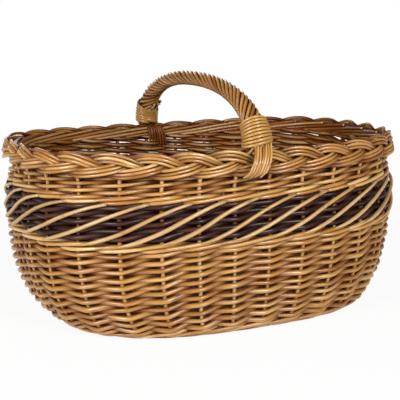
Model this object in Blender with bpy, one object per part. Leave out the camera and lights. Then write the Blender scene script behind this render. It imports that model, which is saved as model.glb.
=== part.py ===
"""A hand-woven willow foraging basket with a roped bow handle, in metres, +Z up.

The wall is a rounded rectangle in plan that swells from a small base. It is woven in level
rows round thirty stakes: a foot wale, light siding, a lower wale, a dark band with sloping
light rods over it, an upper wale, a little more siding and a plaited border. The bow handle
goes down into the weave beside the middle stakes, front and back.
"""

import bisect
import math

import bmesh
import bpy
from mathutils import Vector

# Wall, along the middle of its thickness
wall_half_length = 0.2227
wall_half_width = 0.1569
corner_power = 2.79
curve_height = 0.1124
tuck_at_ends = 0.0454
tuck_at_sides = 0.0205
shoulder_inset = 0.0038
end_rise = 0.0038

# Stakes and weaving rods
stake_count = 30
stake_radius = 0.0025
stake_sides = 4
stake_root = 0.0130
stake_lean = 0.0045
stake_lean_height = 0.0037
rod_thickness = 0.0044
row_pitch = 0.0076
siding_pitch = 0.0080
wale_pitch = 0.0034
row_gap = 0.0003
weave_clearance = 0.0005
floor_clearance = 0.0002

# Heights of the zones of weave, from the foot up
foot_wale_height = 0.0102
lower_wale_height = 0.0068
overlay_ring_height = 0.0035
band_height = 0.0405
upper_wale_height = 0.0068
upper_siding_height = 0.0120

# Sloping rods over the dark band
overlay_rod_radius = 0.0018
overlay_run = 0.0990
overlay_clearance = 0.0010
overlay_points = 5
overlay_bend_share = 1 / 12

# Base
base_thickness = 0.0096
base_edge_gap = 0.0032
base_rim_width = 0.0135
base_rim_gap = 0.0003
base_points = 28
base_rounds = 4
base_groove_depth = 0.0014
cross_half_length = 0.0660
cross_half_width = 0.0200
cross_depth = 0.0068
stick_radius = 0.0032
stick_gap = 0.0003
stick_end_gap = 0.0012
long_stick_count = 3
long_stick_spacing = 0.0090
cross_stick_count = 5
cross_stick_spacing = 0.0250
stick_sides = 6

# Plaited border
border_strands = 3
strand_width = 0.0096
strand_thickness = 0.0084
strand_gap = 0.0004
border_lean_angle = math.radians(18.0)
border_overhang = 0.0031
border_seat_gap = 0.0005
points_per_plait = 12

# Bow handle
bow_radius = 0.0060
bow_foot_inset = 0.0084
bow_rise = 0.0612
bow_power = 2.25
bow_spring_gap = 0.0050
bow_points = 20
bow_sides = 6
bow_look_share = 0.005
leg_half_width = 0.0050
leg_depth = 0.0500
leg_thickness = 0.0032
leg_tip_half_width = 0.0030
leg_tip_thickness = 0.0020
leg_clearance = 0.0005

# Roping round the bow
roping_radius = 0.0090
roping_foot_radius = 0.0122
roping_rods = 6
roping_lead = 0.0480
roping_groove_depth = 0.0013
roping_gap = 0.0003
roping_points = 52

# Skein bindings at the feet of the bow
binding_turns = 9
binding_points_per_turn = 9
skein_width = 0.0015
skein_thickness = 0.0016
binding_length = 0.0310
binding_gap = 0.0004
least_binding_gap = 0.0004

# Fans of rod ends that fold over the border at each foot
fan_rods = 7
fan_width = 0.0240
fan_thickness = 0.0036
fan_groove_depth = 0.0014
fan_gap = 0.0004
fan_seat = 0.0007
fan_splay = 0.0080
fan_tail = 0.0020
fan_fold_share = 0.6
fan_tuck_share = 0.3

# Worked out from the sizes above
stake_shift = leg_half_width + weave_clearance + stake_radius
weave_offset = stake_radius + weave_clearance + rod_thickness / 2
weave_reach = weave_offset + rod_thickness / 2
base_level = weave_reach + floor_clearance
curve_drop = curve_height - base_level
band_top = curve_height + band_height
upper_wale_top = band_top + upper_wale_height
weave_top = upper_wale_top + upper_siding_height
stake_spacing_share = 1 / stake_count
plait_count = stake_count // border_strands
plait_slope_share = 1.12
plait_lift = (strand_thickness + strand_gap) / math.sqrt(3)
plait_swing = (strand_width * plait_slope_share + strand_gap) / (math.sqrt(3) * math.cos(math.pi / 4))
border_half_width = plait_swing + strand_width / 2
border_half_thickness = plait_lift + strand_thickness / 2
border_foot = weave_top + stake_lean_height + border_seat_gap
border_centre = border_foot + border_half_width * math.cos(border_lean_angle)
border_top = border_centre + border_half_width * math.cos(border_lean_angle) + strand_thickness / 2
bow_spring = border_top + bow_spring_gap
bow_half_span = wall_half_width - bow_foot_inset
fan_top = bow_spring - fan_gap - fan_thickness / 2
front = -math.pi / 2
back = math.pi / 2


def material(name, colour, roughness):
    made = bpy.data.materials.new(name)
    made.use_nodes = True
    shader = made.node_tree.nodes["Principled BSDF"]
    shader.inputs["Base Color"].default_value = (*colour, 1.0)
    shader.inputs["Roughness"].default_value = roughness
    shader.inputs["Metallic"].default_value = 0.0
    return made


def clear_scene():
    for old in list(bpy.data.objects):
        bpy.data.objects.remove(old, do_unlink=True)


def skin(build, rings, closed):
    """Bridge equal rings of points into one surface, capped at both ends unless it closes."""
    loops = [[build.verts.new(point) for point in ring] for ring in rings]
    pairs = list(zip(loops, loops[1:]))
    if closed:
        pairs.append((loops[-1], loops[0]))
    for first, second in pairs:
        for i in range(len(first)):
            j = (i + 1) % len(first)
            build.faces.new((first[i], first[j], second[j], second[i]))
    if not closed:
        build.faces.new(list(reversed(loops[0])))
        build.faces.new(loops[-1])


def add_object(name, shells, finish):
    """One named object from a list of (rings, closed) shells."""
    build = bmesh.new()
    for rings, closed in shells:
        skin(build, rings, closed)
    bmesh.ops.recalc_face_normals(build, faces=build.faces)
    mesh = bpy.data.meshes.new(name)
    build.to_mesh(mesh)
    build.free()
    mesh.shade_smooth()
    mesh.set_sharp_from_angle(angle=math.radians(50.0))
    made = bpy.data.objects.new(name, mesh)
    made.data.materials.append(finish)
    bpy.context.scene.collection.objects.link(made)
    return made


def join(target, helper, operation):
    """Keep the helper as a hidden guide of a Boolean on the target."""
    helper.hide_render = True
    helper.display_type = "WIRE"
    step = target.modifiers.new(helper.name, "BOOLEAN")
    step.operation = operation
    step.object = helper


def ring_section(centre, across, along, count, turn=0.0):
    """Points round a centre, given two half-size vectors."""
    found = []
    for i in range(count):
        angle = 2 * math.pi * i / count + turn
        found.append(centre + across * math.cos(angle) + along * math.sin(angle))
    return found


def plan_point(angle, half_x, half_y):
    share = 2 / corner_power
    x = math.copysign(abs(math.cos(angle)) ** share, math.cos(angle))
    y = math.copysign(abs(math.sin(angle)) ** share, math.sin(angle))
    return Vector((half_x * x, half_y * y, 0.0))


def plan_normal(angle, half_x, half_y):
    point = plan_point(angle, half_x, half_y)
    x = math.copysign(abs(point.x / half_x) ** (corner_power - 1), point.x) / half_x
    y = math.copysign(abs(point.y / half_y) ** (corner_power - 1), point.y) / half_y
    return Vector((x, y, 0.0)).normalized()


def climb_table(steps=360):
    """Distance along the wall's curved foot, at the mean tuck, against the curve's own angle."""
    mean_tuck = (tuck_at_ends + tuck_at_sides) / 2
    turns = [math.pi / 2 * i / steps for i in range(steps + 1)]
    climbs = [0.0]
    for first, second in zip(turns, turns[1:]):
        sideways = mean_tuck * (math.sin(second) - math.sin(first))
        upwards = curve_drop * (math.cos(first) - math.cos(second))
        climbs.append(climbs[-1] + math.hypot(sideways, upwards))
    return climbs, turns


climbs, climb_turns = climb_table()
curve_climb = climbs[-1]


def read_between(keys, values, key):
    place = min(max(bisect.bisect_right(keys, key), 1), len(keys) - 1)
    share = (key - keys[place - 1]) / (keys[place] - keys[place - 1])
    return values[place - 1] + share * (values[place] - values[place - 1])


def profile(climb):
    """(share of the tuck that is left, height) at a distance up the wall from the base's edge.

    Below the edge it runs in level, by the whole of that distance where the tuck is greatest.
    """
    if climb < 0:
        return 1 - climb / max(tuck_at_ends, tuck_at_sides), base_level
    if climb < curve_climb:
        turn = read_between(climbs, climb_turns, climb)
        return 1 - math.sin(turn), curve_height - curve_drop * math.cos(turn)
    return 0.0, curve_height + climb - curve_climb


def climb_of(height):
    """Distance up the wall of a height that isn't below the base's edge."""
    if height >= curve_height:
        return curve_climb + height - curve_height
    turn = math.acos((curve_height - height) / curve_drop)
    return read_between(climb_turns, climbs, turn)


def wall_sizes(climb):
    tuck, height = profile(climb)
    above = max(0.0, (height - curve_height) / (weave_top - curve_height))
    inset = shoulder_inset * above**2
    half_x = wall_half_length - tuck_at_ends * tuck - inset
    half_y = wall_half_width - tuck_at_sides * tuck - inset
    return half_x, half_y, height


def wall_point(angle, climb):
    half_x, half_y, height = wall_sizes(climb)
    point = plan_point(angle, half_x, half_y)
    point.z = height + end_rise * (height / weave_top) * (point.x / half_x) ** 2
    return point


def wall_place(angle, climb, off=0.0):
    """(point, outward direction, upward direction) on the wall's middle surface, or off it."""
    half_x, half_y, _ = wall_sizes(climb)
    step = rod_thickness / 8
    rising = (wall_point(angle, climb + step) - wall_point(angle, climb - step)).normalized()
    flat = plan_normal(angle, half_x, half_y)
    round_about = Vector((-flat.y, flat.x, 0.0))
    outward = round_about.cross(rising).normalized()
    return wall_point(angle, climb) + outward * off, outward, rising


def perimeter_table(steps=1440):
    """Distance round the wall at its widest, against the plan's angle, from the middle of the front."""
    angles = [front + 2 * math.pi * i / steps for i in range(steps + 1)]
    places = [plan_point(angle, wall_half_length, wall_half_width) for angle in angles]
    rounds = [0.0]
    for first, second in zip(places, places[1:]):
        rounds.append(rounds[-1] + (second - first).length)
    return rounds, angles


rounds, round_angles = perimeter_table()
perimeter = rounds[-1]
stake_spacing = perimeter * stake_spacing_share


def angle_at(distance):
    return read_between(rounds, round_angles, distance % perimeter)


def stake_distance(index):
    return stake_shift + index * stake_spacing


def beside_leg(index):
    return index % (stake_count // 2) == 0


def weave_stops():
    """(stake, plan angle) of each bend of a row, with two where a leg of the bow lies by its stake."""
    stops = []
    for index in range(stake_count):
        here = stake_distance(index)
        if beside_leg(index):
            stops.append((index, angle_at(here - stake_shift - leg_half_width)))
            stops.append((index, angle_at(here + stake_radius)))
        else:
            stops.append((index, angle_at(here)))
    return stops


def woven_row(name, low, high, side_of, finish):
    """One closed row between two climbs, outside a stake where side_of(stake) is 1 and inside at -1."""
    middle = (low + high) / 2
    rings = []
    for index, angle in weave_stops():
        off = side_of(index) * weave_offset
        centre, outward, rising = wall_place(angle, middle, off)
        room = (wall_place(angle, high, off)[0] - wall_place(angle, low, off)[0]).length
        tall = (min(high - low, room) - row_gap) / 2
        rings.append(ring_section(centre, outward * (rod_thickness / 2), rising * tall, 4))
    return add_object(name, [(rings, True)], finish)


def woven_zone(name, low, high, pitch, pattern, finish):
    count = max(1, int((high - low) / pitch + 0.5))
    step = (high - low) / count
    for row in range(count):
        def side_of(index, row=row):
            return pattern[(index + row) % len(pattern)]
        woven_row(f"{name}_{row + 1:02d}", low + row * step, low + (row + 1) * step, side_of, finish)


def make_weave(light, dark):
    over_one = (1, -1)
    over_two = (1, 1, -1)
    foot = foot_wale_height
    wale_low = climb_of(curve_height - overlay_ring_height) - lower_wale_height
    ring_low = wale_low + lower_wale_height
    woven_zone("foot_wale", row_gap, foot, wale_pitch, over_two, light)
    woven_zone("lower_siding", foot, wale_low, siding_pitch, over_one, light)
    woven_zone("lower_wale", wale_low, ring_low, wale_pitch, over_two, light)
    woven_zone("dark_band", curve_climb, climb_of(band_top), row_pitch, over_one, dark)
    woven_zone("upper_wale", climb_of(band_top), climb_of(upper_wale_top), wale_pitch, over_two, light)
    woven_zone("upper_siding", climb_of(upper_wale_top), climb_of(weave_top), row_pitch, over_one, light)


def stake_shell(index):
    angle = angle_at(stake_distance(index))
    curve_steps = 8
    stops = [-stake_root]
    stops += [curve_climb * (step / curve_steps) ** 2 for step in range(curve_steps + 1)]
    stops += [climb_of(height) for height in (curve_height + band_height / 2, band_top, weave_top)]
    rings = []
    for climb in stops:
        centre, outward, rising = wall_place(angle, climb)
        sideways = rising.cross(outward)
        rings.append(ring_section(centre, outward * stake_radius, sideways * stake_radius, stake_sides))
    centre, outward, rising = wall_place(angle, climb_of(weave_top + stake_lean_height), stake_lean)
    sideways = rising.cross(outward)
    rings.append(ring_section(centre, outward * stake_radius, sideways * stake_radius, stake_sides))
    return rings, False


def base_outline(half_x, half_y, level):
    turns = [2 * math.pi * i / base_points for i in range(base_points)]
    lift = Vector((0.0, 0.0, level))
    return [plan_point(turn, half_x, half_y) + lift for turn in turns]


def make_base(finish):
    """The base's weave: rounds that ridge its top, out from the opening where the sticks cross."""
    half_x, half_y, _ = wall_sizes(0.0)
    inset = base_edge_gap + base_rim_width + base_rim_gap
    half_x -= inset
    half_y -= inset
    rings = [base_outline(half_x, half_y, 0.0)]
    lines = 2 * base_rounds
    for line in range(lines + 1):
        share = line / lines
        level = base_thickness - base_groove_depth * (line % 2)
        long = half_x + (cross_half_length - half_x) * share
        wide = half_y + (cross_half_width - half_y) * share
        rings.append(base_outline(long, wide, level))
    rings.append(base_outline(cross_half_length, cross_half_width, base_thickness - cross_depth))
    return add_object("woven_base", [(rings, False)], finish)


def make_stake_frame(finish):
    """The outer rim of the base, with the thirty stakes that are pushed into it."""
    half_x, half_y, _ = wall_sizes(0.0)
    sections = []
    for inset in (base_edge_gap, base_edge_gap + base_rim_width):
        for level in (floor_clearance, base_thickness):
            sections.append(base_outline(half_x - inset, half_y - inset, level))
    outer_low, outer_high, inner_low, inner_high = sections
    rings = list(zip(outer_low, inner_low, inner_high, outer_high))
    frame = add_object("stake_frame", [(rings, True)], finish)
    stakes = add_object("stake_guides", [stake_shell(index) for index in range(stake_count)], finish)
    join(frame, stakes, "UNION")
    return frame


def stick_shell(start, end):
    along = (end - start).normalized()
    sideways = along.cross(Vector((0.0, 0.0, 1.0)))
    upwards = Vector((0.0, 0.0, stick_radius))
    across = sideways * stick_radius
    turn = math.pi / stick_sides
    return [ring_section(place, across, upwards, stick_sides, turn) for place in (start, end)], False


def make_base_sticks(finish):
    """Long and cross sticks where they show in the base's middle, threaded through each other."""
    level = base_thickness - cross_depth + stick_gap + stick_radius
    half_x = cross_half_length - stick_end_gap
    half_y = cross_half_width - stick_end_gap

    def reach(place, half_across, half_along):
        return half_along * (1 - abs(place / half_across) ** corner_power) ** (1 / corner_power)

    long_shells = []
    for index in range(long_stick_count):
        y = (index - (long_stick_count - 1) / 2) * long_stick_spacing
        end = reach(abs(y) + stick_radius, half_y, half_x)
        long_shells.append(stick_shell(Vector((-end, y, level)), Vector((end, y, level))))
    cross_shells = []
    for index in range(cross_stick_count):
        x = (index - (cross_stick_count - 1) / 2) * cross_stick_spacing
        end = reach(abs(x) + stick_radius, half_x, half_y)
        cross_shells.append(stick_shell(Vector((x, -end, level)), Vector((x, end, level))))
    sticks = add_object("base_sticks", long_shells[:1], finish)
    join(sticks, add_object("cross_stick_guides", cross_shells, finish), "UNION")
    join(sticks, add_object("long_stick_guides", long_shells[1:], finish), "UNION")
    return sticks


def overlay_rod(index):
    """One light rod that slopes up over the dark band, from the overlay ring to the upper wale."""
    start = stake_distance(index)
    low = curve_climb - overlay_ring_height / 2
    high = climb_of(band_top) - overlay_rod_radius - row_gap
    proud = weave_reach + overlay_clearance + overlay_rod_radius
    rings = []
    for point in range(overlay_points):
        share = point / (overlay_points - 1)
        swing = share + math.sin(2 * math.pi * share) * overlay_bend_share
        off = proud if point else weave_reach + overlay_rod_radius / 2
        angle = angle_at(start + overlay_run * swing)
        centre, outward, rising = wall_place(angle, low + (high - low) * share, off)
        rings.append(ring_section(centre, outward * overlay_rod_radius, rising * overlay_rod_radius, 4))
    return rings, False


def make_overlay(finish):
    """A plain ring of rod under the dark band, with the thirty sloping rods that spring from it."""
    low = curve_climb - overlay_ring_height
    middle = (low + curve_climb) / 2
    tall = (overlay_ring_height - row_gap) / 2
    rings = []
    for index in range(stake_count):
        angle = angle_at(stake_distance(index))
        centre, outward, rising = wall_place(angle, middle, weave_offset + weave_clearance)
        rings.append(ring_section(centre, outward * (rod_thickness / 2), rising * tall, 4))
    overlay = add_object("band_overlay", [(rings, True)], finish)
    rods = add_object("overlay_rod_guides", [overlay_rod(index) for index in range(stake_count)], finish)
    join(overlay, rods, "UNION")
    return overlay


def border_place(angle, lateral, depth):
    """A point on the border's leaning section: lateral is up its face and depth is out of it."""
    climb = climb_of(border_centre)
    half_x, half_y, _ = wall_sizes(climb_of(weave_top))
    flat = plan_normal(angle, half_x, half_y)
    base = wall_point(angle, climb_of(weave_top))
    base.z += border_centre - weave_top
    up = Vector((0.0, 0.0, 1.0))
    up_face = up * math.cos(border_lean_angle) - flat * math.sin(border_lean_angle)
    out_face = flat * math.cos(border_lean_angle) + up * math.sin(border_lean_angle)
    return base + flat * border_overhang + up_face * lateral + out_face * depth, up_face, out_face


def make_border(finish):
    """Three strands plaited round the rim, one over the others at each stake in turn."""
    steps = plait_count * points_per_plait
    for strand in range(border_strands):
        rings = []
        for step in range(steps):
            phase = 2 * math.pi * (step / points_per_plait + strand / border_strands) - math.pi / 2
            angle = angle_at(stake_distance(0) + perimeter * step / steps)
            lateral = plait_swing * math.sin(phase)
            depth = -plait_lift * math.sin(2 * phase)
            centre, up_face, out_face = border_place(angle, lateral, depth)
            half_wide = up_face * (strand_width / 2)
            half_thick = out_face * (strand_thickness / 2)
            rings.append(ring_section(centre, half_wide, half_thick, 4))
        add_object(f"border_strand_{strand + 1}", [(rings, True)], finish)


def bow_arch(turn):
    """The bow's centre line above its springing, from the front at 0 to the back at pi."""
    share = 2 / bow_power
    y = -bow_half_span * math.copysign(abs(math.cos(turn)) ** share, math.cos(turn))
    return Vector((0.0, y, bow_spring + bow_rise * abs(math.sin(turn)) ** share))


def bow_line(samples=720):
    """Evenly spaced points of the arch, with the distance to each."""
    fine = [bow_arch(math.pi * i / samples) for i in range(samples + 1)]
    run = [0.0]
    for first, second in zip(fine, fine[1:]):
        run.append(run[-1] + (second - first).length)
    return fine, run


bow_fine, bow_run = bow_line()
bow_length = bow_run[-1]


def bow_place(distance):
    """(point, direction along the bow, direction out of its curve) at a distance from the front spring."""
    place = read_between(bow_run, bow_fine, distance)
    step = bow_length * bow_look_share
    ahead = read_between(bow_run, bow_fine, min(distance + step, bow_length))
    behind = read_between(bow_run, bow_fine, max(distance - step, 0.0))
    along = (ahead - behind).normalized()
    return place, along, Vector((1.0, 0.0, 0.0)).cross(along)


def leg_places(angle):
    """(point, half thickness, half width) down one leg's blade, from the plait to its tip in the weave."""
    half = leg_thickness / 2
    inside = -(border_half_thickness + leg_clearance + half)
    swing = plait_swing / math.sqrt(2)
    entry = climb_of(weave_top) + weave_clearance
    tip = entry - leg_depth
    return [
        (border_place(angle, swing, inside)[0], half, leg_half_width),
        (border_place(angle, -swing, inside)[0], half, leg_half_width),
        (wall_place(angle, entry)[0], half, leg_half_width),
        (wall_place(angle, (entry + tip) / 2)[0], half, leg_half_width),
        (wall_place(angle, tip)[0], leg_tip_thickness / 2, leg_tip_half_width),
    ]


def bow_thickness_at(distance):
    """Half the bow's thickness: full round above the bindings, shaved to a blade within them."""
    blade = leg_thickness / 2
    share = min(1.0, min(distance, bow_length - distance) / binding_length)
    return blade + (bow_radius - blade) * share


def make_bow(finish):
    across = Vector((1.0, 0.0, 0.0))
    down_front = leg_places(front)
    down_back = leg_places(back)
    stations = list(reversed(down_front))
    for i in range(bow_points + 1):
        distance = bow_length * i / bow_points
        stations.append((bow_place(distance)[0], bow_thickness_at(distance), bow_radius))
    stations += down_back
    centres = [station[0] for station in stations]
    rings = []
    for i, (centre, thick, wide) in enumerate(stations):
        before = centres[max(i - 1, 0)]
        after = centres[min(i + 1, len(centres) - 1)]
        outward = across.cross((after - before).normalized())
        rings.append(ring_section(centre, across * wide, outward * thick, bow_sides))
    return add_object("bow_handle", [(rings, False)], finish)


def roping_radius_at(distance):
    """Half the roped handle's thickness: slimmest at the crown, fuller at the feet."""
    share = abs(2 * distance / bow_length - 1)
    return roping_radius + (roping_foot_radius - roping_radius) * share**3


def make_roping(finish):
    """Rods wound round the bow: a twisted lobed sleeve with the bow's bore through it."""
    across = Vector((1.0, 0.0, 0.0))
    sides = 2 * roping_rods
    rings = []
    for step in range(roping_points + 1):
        distance = bow_length * step / roping_points
        centre, _, outward = bow_place(distance)
        ring = []
        for i in range(sides):
            angle = 2 * math.pi * (i / sides + distance / roping_lead)
            radius = roping_radius_at(distance) - (i % 2) * roping_groove_depth
            ring.append(centre + (across * math.cos(angle) + outward * math.sin(angle)) * radius)
        rings.append(ring)
    roping = add_object("handle_roping", [(rings, False)], finish)
    bore = []
    overrun = roping_radius
    for i in range(-1, bow_points + 2):
        distance = bow_length * min(max(i, 0), bow_points) / bow_points
        centre, along, outward = bow_place(distance)
        centre = centre + along * overrun * ((i > bow_points) - (i < 0))
        radius = bow_radius + roping_gap
        bore.append(ring_section(centre, across * radius, outward * radius, bow_sides))
    join(roping, add_object("roping_bore_guide", [(bore, False)], finish), "DIFFERENCE")
    return roping


def binding_line(start, turns, points_per_turn):
    """Centre line of a skein wound on the roping from a distance up the bow, and its own directions."""
    across = Vector((1.0, 0.0, 0.0))
    count = turns * points_per_turn
    found = []
    for step in range(count + 1):
        distance = start + (binding_length - skein_width) * step / count
        centre, along, outward = bow_place(distance)
        angle = 2 * math.pi * step / points_per_turn
        radial = across * math.cos(angle) + outward * math.sin(angle)
        clear = roping_foot_radius + binding_gap + skein_thickness / 2
        clear /= math.cos(math.pi / points_per_turn)
        found.append((centre + radial * clear, along, radial))
    return found


def least_gap(line, points_per_turn):
    """Least distance between neighbouring turns of a winding, surface to surface."""
    gaps = []
    for i, (place, _, _) in enumerate(line):
        for j in range(i + points_per_turn // 2, len(line)):
            gaps.append((line[j][0] - place).length)
    return min(gaps) - skein_width


def make_binding(name, start, finish):
    line = binding_line(start, binding_turns, binding_points_per_turn)
    gap = least_gap(line, binding_points_per_turn)
    print(f"{name}: {binding_turns} turns, least gap to itself {gap * 1000:.2f} mm")
    if gap < least_binding_gap:
        print(f"{name}: the turns lie closer than they should")
    rings = [
        ring_section(place, along * (skein_width / 2), radial * (skein_thickness / 2), 4)
        for place, along, radial in line
    ]
    return add_object(name, [(rings, False)], finish)


def fan_section(centre, across, outward, width):
    """Section of a fan: rods side by side, ridged on the outer face and flat within."""
    pitch = width / fan_rods
    found = [centre - across * (width / 2) - outward * (fan_thickness / 2)]
    for rod in range(fan_rods):
        ridge = -width / 2 + pitch * (rod + 0.5)
        found.append(centre + across * ridge + outward * (fan_thickness / 2))
        if rod < fan_rods - 1:
            groove = fan_thickness / 2 - fan_groove_depth
            found.append(centre + across * (ridge + pitch / 2) + outward * groove)
    found.append(centre + across * (width / 2) - outward * (fan_thickness / 2))
    return found


def outer_fan_line(angle):
    """From the bow's springing down the outside of the border, seated in its plait, to just below its foot."""
    side = math.copysign(1.0, math.sin(angle))
    beside_bow = bow_half_span + bow_radius + fan_gap + fan_thickness / 2
    face = border_half_thickness - fan_seat + fan_gap + fan_thickness / 2
    crown = border_half_width
    tail = crown + fan_tail
    fold = crown * fan_fold_share
    stops = [(fold, face), (-fold, face), (-crown, face * fan_fold_share), (-tail, face * fan_tuck_share)]
    found = [Vector((0.0, side * beside_bow, fan_top))]
    return found + [border_place(angle, lateral, depth)[0] for lateral, depth in stops]


def inner_fan_line(angle):
    """Down the inside, from the bow's springing past the leg to the top of the weave."""
    side = math.copysign(1.0, math.sin(angle))
    beside_bow = bow_half_span - bow_radius - fan_gap - fan_thickness / 2
    top = Vector((0.0, side * beside_bow, fan_top))
    rim, rim_half, _ = leg_places(angle)[0]
    past_leg = rim_half + fan_gap + fan_thickness / 2
    beside_rim = rim - Vector((0.0, side * past_leg, 0.0))
    inside = -(weave_reach + fan_gap + fan_thickness / 2)
    foot = wall_place(angle, climb_of(weave_top) - fan_tail, inside)[0]
    return [top, beside_rim, foot]


def make_fan(name, angle, centres, facing, finish):
    """Rod ends that fold down over the border, ridged on the face that shows."""
    across = Vector((math.copysign(1.0, -math.sin(angle)), 0.0, 0.0))
    rings = []
    for i, centre in enumerate(centres):
        before = centres[max(i - 1, 0)]
        after = centres[min(i + 1, len(centres) - 1)]
        outward = (after - before).normalized().cross(across) * facing
        shifted = centre - across * (fan_splay * i / (len(centres) - 1))
        rings.append(fan_section(shifted, across, outward, fan_width))
    return add_object(name, [(rings, False)], finish)


def build():
    clear_scene()
    light = material("light_willow", (0.52, 0.29, 0.11), 0.5)
    dark = material("dark_willow", (0.06, 0.03, 0.02), 0.45)
    skein = material("skein", (0.66, 0.42, 0.17), 0.4)
    make_base(light)
    make_stake_frame(light)
    make_base_sticks(light)
    make_weave(light, dark)
    make_overlay(light)
    make_border(light)
    make_bow(light)
    make_roping(light)
    make_binding("front_binding", 0.0, skein)
    make_binding("back_binding", bow_length - binding_length, skein)
    for side, angle in (("front", front), ("back", back)):
        make_fan(f"{side}_outer_fan", angle, outer_fan_line(angle), 1, light)
        make_fan(f"{side}_inner_fan", angle, inner_fan_line(angle), -1, light)


build()
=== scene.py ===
"""Looks for a mushroom foraging basket: hand-woven willow with a roped bow handle.

Every rod is a real tube, swept along the way that it takes through the weave. The wall is a
rounded rectangle in plan that swells from a small foot, as in the part's source. A place on it is
given by its distance round the rim from the middle of the front, and its climb up the wall from
the foot. Lengths are in metres.
"""

import math

import bpy
import numpy as np
from mathutils import Matrix, Vector


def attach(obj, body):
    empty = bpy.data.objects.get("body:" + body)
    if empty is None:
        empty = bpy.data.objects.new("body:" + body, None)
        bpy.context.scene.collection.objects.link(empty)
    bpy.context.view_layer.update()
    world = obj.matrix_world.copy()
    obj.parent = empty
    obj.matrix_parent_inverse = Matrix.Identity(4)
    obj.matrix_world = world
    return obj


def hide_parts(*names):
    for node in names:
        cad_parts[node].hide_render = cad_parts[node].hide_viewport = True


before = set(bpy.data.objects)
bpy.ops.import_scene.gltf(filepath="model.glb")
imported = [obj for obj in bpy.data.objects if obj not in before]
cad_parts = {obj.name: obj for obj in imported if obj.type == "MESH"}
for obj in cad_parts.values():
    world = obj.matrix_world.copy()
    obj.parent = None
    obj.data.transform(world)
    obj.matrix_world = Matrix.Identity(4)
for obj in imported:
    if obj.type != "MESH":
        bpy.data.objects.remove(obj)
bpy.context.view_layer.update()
chance = np.random.default_rng(29)

# Wall, along the middle of its thickness
WALL_HALF_LENGTH = 0.2227
WALL_HALF_WIDTH = 0.1569
CORNER_POWER = 2.79
CURVE_HEIGHT = 0.1124
TUCK_AT_ENDS = 0.0454
TUCK_AT_SIDES = 0.0205
SHOULDER_INSET = 0.0038
END_RISE = 0.0038
BASE_LEVEL = 0.0076
BAND_TOP = 0.1529
UPPER_WALE_TOP = 0.1597
WEAVE_TOP = 0.1717
SLOPE_PROBE = 0.0006
FRONT = -math.pi / 2

# Stakes, and the way that rods stand out from the wall's middle as they pass them
STAKES = 30
STAKE_SHIFT = 0.0080
STAKE_RADIUS = 0.0021
STAKE_FOOT = -0.016
STAKE_TOP = 0.1830
WEAVE_OFFSET = 0.0048
WEAVE_REACH = 0.0074
GIVE = 0.0003
FINE_GIVE = 0.0002

# Some stakes left of the front's middle stray to the right. Centre and reach are in stake gaps
STRAY = 0.0036
STRAY_CENTRE = 2.95
STRAY_REACH = 2.3

# Border
BORDER_CENTRE = 0.1907
BORDER_LEAN = math.radians(18.0)
BORDER_OVERHANG = 0.0042
BORDER_FLARE = 0.0040
BORDER_FRONT_RISE = 0.0014

# Handle
BOW_SHIFT = -0.0070
BOW_HALF_SPAN = 0.1560
BOW_SPRING = 0.2050
BOW_RISE = 0.0660
BOW_POWER = 2.22
BOW_PROBE = 0.002

RIGHTWARDS = np.array([1.0, 0.0, 0.0])
UPWARDS = np.array([0.0, 0.0, 1.0])


def unit(vectors):
    return vectors / np.maximum(np.linalg.norm(vectors, axis=-1, keepdims=True), 1e-12)


def signed_power(values, power):
    return np.sign(values) * np.abs(values) ** power


def smooth(share):
    """A share from nought to one that leaves nought and meets one gently."""
    return share * share * (3 - 2 * share)


def ramp(value, reach):
    """How far a value has come on its way to its reach, held between nought and one."""
    return np.clip(value / reach, 0, 1)


def plan_point(angle, half_x, half_y):
    share = 2 / CORNER_POWER
    x = half_x * signed_power(np.cos(angle), share)
    y = half_y * signed_power(np.sin(angle), share)
    return np.stack([x, y, np.zeros(np.shape(angle))], -1)


def run_along(points):
    steps = np.linalg.norm(np.diff(points, axis=0), axis=1)
    return np.concatenate([[0.0], np.cumsum(steps)])


round_angles = FRONT + np.linspace(0, 2 * math.pi, 2881)
rounds = run_along(plan_point(round_angles, WALL_HALF_LENGTH, WALL_HALF_WIDTH))
perimeter = rounds[-1]
spacing = perimeter / STAKES

climb_turns = np.linspace(0, math.pi / 2, 361)
mean_tuck = (TUCK_AT_ENDS + TUCK_AT_SIDES) / 2
curve_drop = CURVE_HEIGHT - BASE_LEVEL
climb_path = np.stack([mean_tuck * np.sin(climb_turns), -curve_drop * np.cos(climb_turns)], -1)
climbs = run_along(climb_path)
curve_climb = climbs[-1]


def angle_at(distance):
    return np.interp(np.mod(distance, perimeter), rounds, round_angles)


def from_front(distance):
    """The same place, counted both ways from the middle of the front."""
    return np.mod(distance + perimeter / 2, perimeter) - perimeter / 2


def climb_of(height):
    if height >= CURVE_HEIGHT:
        return curve_climb + height - CURVE_HEIGHT
    return float(np.interp(math.acos((CURVE_HEIGHT - height) / curve_drop), climb_turns, climbs))


def wall_bare(angle, climb):
    """The middle of the wall at a plan angle and a climb, with the half sizes there."""
    turn = np.interp(climb, climbs, climb_turns)
    tuck = 1 - np.sin(turn) + np.maximum(-climb, 0) / mean_tuck
    above = np.maximum(climb - curve_climb, 0)
    height = CURVE_HEIGHT - curve_drop * np.cos(turn) + above
    inset = SHOULDER_INSET * (above / (WEAVE_TOP - CURVE_HEIGHT)) ** 2
    half_x = WALL_HALF_LENGTH - TUCK_AT_ENDS * tuck - inset
    half_y = WALL_HALF_WIDTH - TUCK_AT_SIDES * tuck - inset
    point = plan_point(angle, half_x, half_y)
    point[..., 2] = height + END_RISE * height / WEAVE_TOP * (point[..., 0] / half_x) ** 2
    return point, half_x, half_y


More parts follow.
